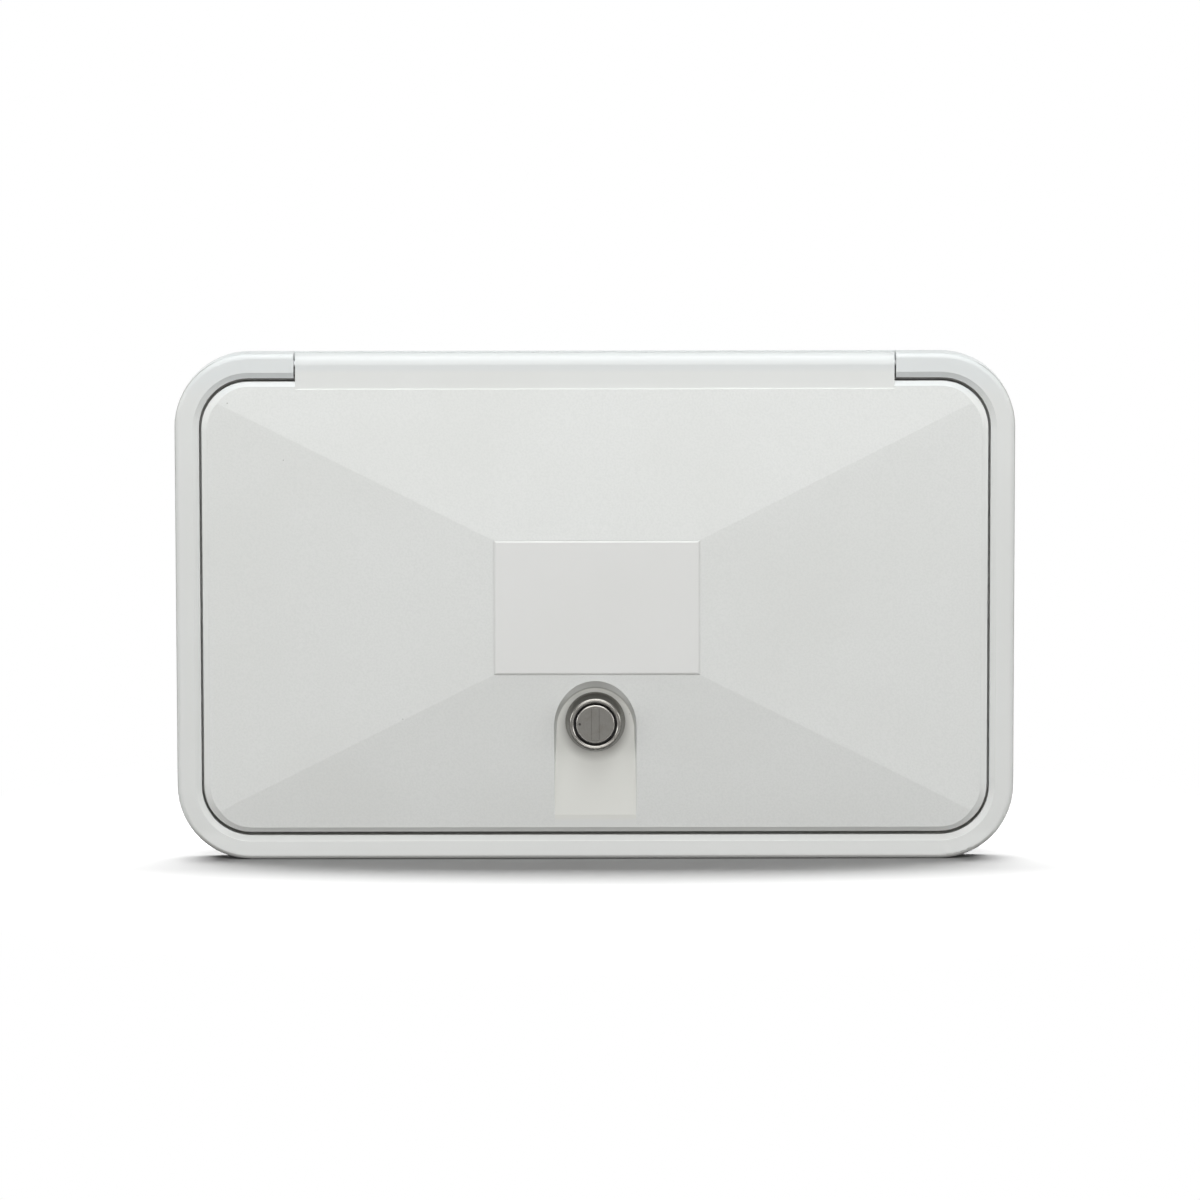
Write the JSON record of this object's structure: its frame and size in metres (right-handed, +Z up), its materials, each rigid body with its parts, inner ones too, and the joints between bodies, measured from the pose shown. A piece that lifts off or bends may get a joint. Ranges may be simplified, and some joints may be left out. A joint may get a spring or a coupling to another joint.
{
  "type": "caravan access hatch",
  "caption": "Wide moulded access hatch for a caravan wall: a rounded flange frame with a faceted door hinged along its top edge and a round cam lock in a recess.",
  "frame": {"origin": "centre of the flange's rear face, in the plane of the wall's outer surface", "axes": "+X to the right along the hinge, +Z up, +Y into the vehicle"},
  "size_m": [0.43, 0.0529, 0.262],
  "materials": {
    "frame_plastic": "smooth moulded white plastic, satin",
    "door_plastic": "moulded white plastic with a fine grain",
    "plate_plastic": "smooth white plastic, satin",
    "liner_plastic": "moulded white plastic, satin",
    "seal_rubber": "matt black",
    "lock_metal": "satin nickel",
    "steel": "zinc plated"
  },
  "bodies": {
    "frame": {"outer_frame": "frame_plastic", "hinge_rod": "steel", "strike": "steel"},
    "door": {"door_skin": "door_plastic", "centre_plate": "plate_plastic", "door_liner": "liner_plastic", "door_seal": "seal_rubber", "lock_bezel": "lock_metal", "lock_gasket": "seal_rubber", "lock_washer": "steel", "lock_nut": "steel"},
    "lock": {"lock_barrel": "lock_metal", "key_shutter": "lock_metal", "lock_cam": "steel", "cam_washer": "steel", "cam_screw": "steel"}
  },
  "joints": [
    {"name": "door_hinge", "type": "hinge", "parent": "frame", "child": "door", "pos_m": [0, -0.0078, 0.1252], "axis": [-1, 0, 0], "range_deg": [0, 170]},
    {"name": "lock_turn", "type": "hinge", "parent": "door", "child": "lock", "pos_m": [0, 0, -0.059], "axis": [0, 1, 0], "range_deg": [0, 90]}
  ]
}
